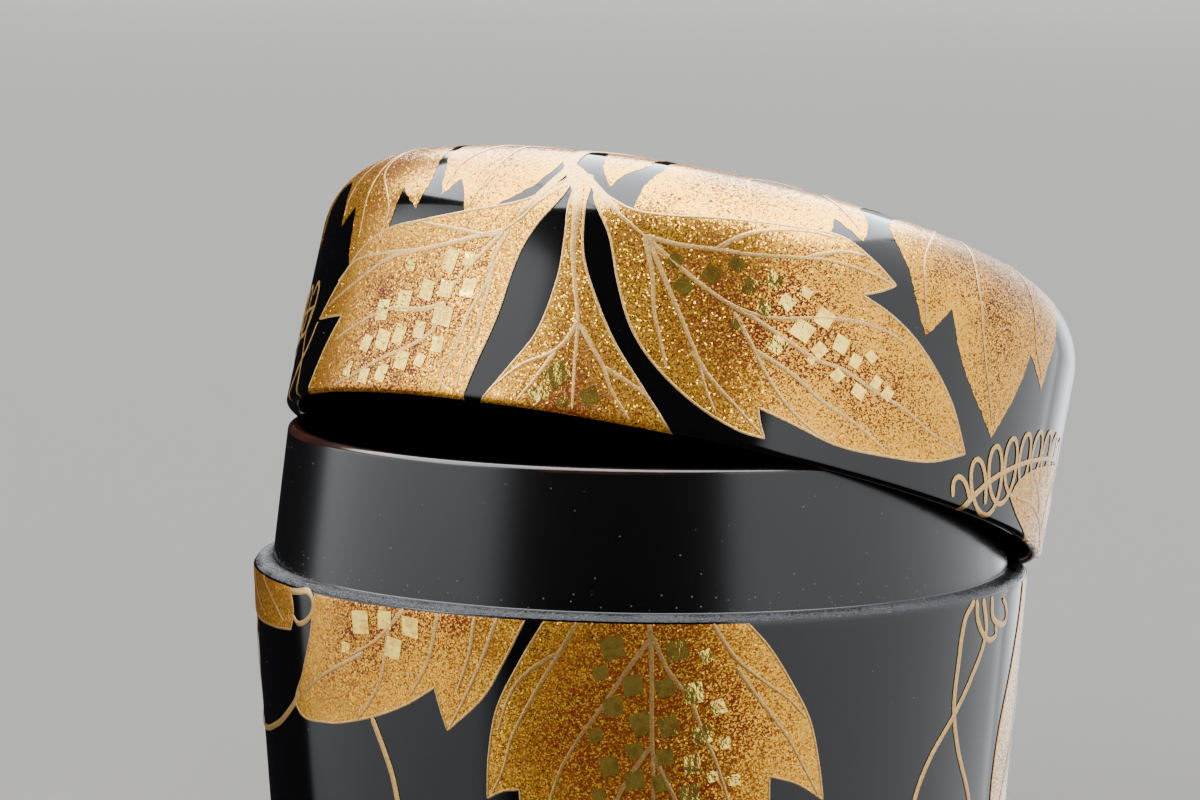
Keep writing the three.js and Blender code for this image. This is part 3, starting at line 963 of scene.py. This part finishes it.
world = bpy.data.worlds.new("dim_room")
world.use_nodes = True
world.node_tree.nodes["Background"].inputs["Color"].default_value = (0.012, 0.012, 0.014, 1)
bpy.context.scene.world = world


def soft_box(name, centre, facing, width, tall, radiance, edge, low=1.0):
    """A rectangular light that fades toward its sides, over a share of its width, and toward its foot."""
    data = bpy.data.lights.new(name, "AREA")
    data.shape = "RECTANGLE"
    data.size = width
    data.size_y = tall
    data.energy = radiance * math.pi * width * tall
    data.color = (0.94, 0.97, 1.0)
    data.use_nodes = True
    tree = data.node_tree
    emission = tree.nodes["Emission"]
    across = tree.nodes.new("ShaderNodeNewGeometry")
    split = tree.nodes.new("ShaderNodeSeparateXYZ")
    tree.links.new(across.outputs["Parametric"], split.inputs[0])
    fades = (
        (split.outputs["X"], 0, edge, 0),
        (split.outputs["X"], 1, 1 - edge, 0),
        (split.outputs["Y"], 0, 1, low),
    )
    shares = []
    for socket, start, end, bottom in fades:
        fade = tree.nodes.new("ShaderNodeMapRange")
        tree.links.new(socket, fade.inputs["Value"])
        fade.inputs["From Min"].default_value = start
        fade.inputs["From Max"].default_value = end
        fade.inputs["To Min"].default_value = bottom
        shares.append(fade.outputs["Result"])
    first = tree.nodes.new("ShaderNodeMath")
    first.operation = "MULTIPLY"
    second = tree.nodes.new("ShaderNodeMath")
    second.operation = "MULTIPLY"
    tree.links.new(shares[0], first.inputs[0])
    tree.links.new(shares[1], first.inputs[1])
    tree.links.new(first.outputs[0], second.inputs[0])
    tree.links.new(shares[2], second.inputs[1])
    tree.links.new(second.outputs[0], emission.inputs["Strength"])
    light = bpy.data.objects.new(name, data)
    light.matrix_world = Matrix.Translation(centre) @ facing.to_track_quat("-Z", "Y").to_matrix().to_4x4()
    light.visible_camera = False
    light.visible_diffuse = False
    bpy.context.collection.objects.link(light)


def panel(name, bearing, distance, left_end, right_end, foot, head, radiance, edge, low):
    """An upright soft box; bearing and ends are in degrees from the camera's side, seen from the caddy."""
    angle = math.radians(bearing)
    outward = Vector((math.sin(angle), -math.cos(angle), 0))
    along = Vector((math.cos(angle), math.sin(angle), 0))
    first = distance * math.tan(math.radians(left_end - bearing))
    last = distance * math.tan(math.radians(right_end - bearing))
    centre = outward * distance + along * (first + last) / 2 + Vector((0, 0, (foot + head) / 2))
    soft_box(name, centre, -outward, last - first, head - foot, radiance, edge, low)


panel("left_box", -56, 0.45, -120, -38, -0.25, 0.29, 3.9, 0.08, 0.15)
panel("right_box", 80, 0.6, 25, 138, -0.3, 0.78, 4.2, 0.05, 0.4)
panel("back_box", 152, 0.8, 130, 176, -0.4, 0.6, 4.0, 0.5, 1.0)
soft_box("top_box", Vector((0.07, 0.35, 0.52)), Vector((0, 0, -1)), 0.68, 1.37, 16.0, 0.02)
soft_box("left_top_box", Vector((-0.56, 0.03, 0.52)), Vector((0, 0, -1)), 0.59, 0.83, 13.5, 0.02)

sky = bpy.data.lights.new("room_light", "SUN")
sky.energy = 3.3
sky.angle = math.radians(70)
room_light = bpy.data.objects.new("room_light", sky)
room_light.matrix_world = Vector((0.3, 0.7, -0.65)).to_track_quat("-Z", "Y").to_matrix().to_4x4()
room_light.visible_glossy = False
bpy.context.collection.objects.link(room_light)
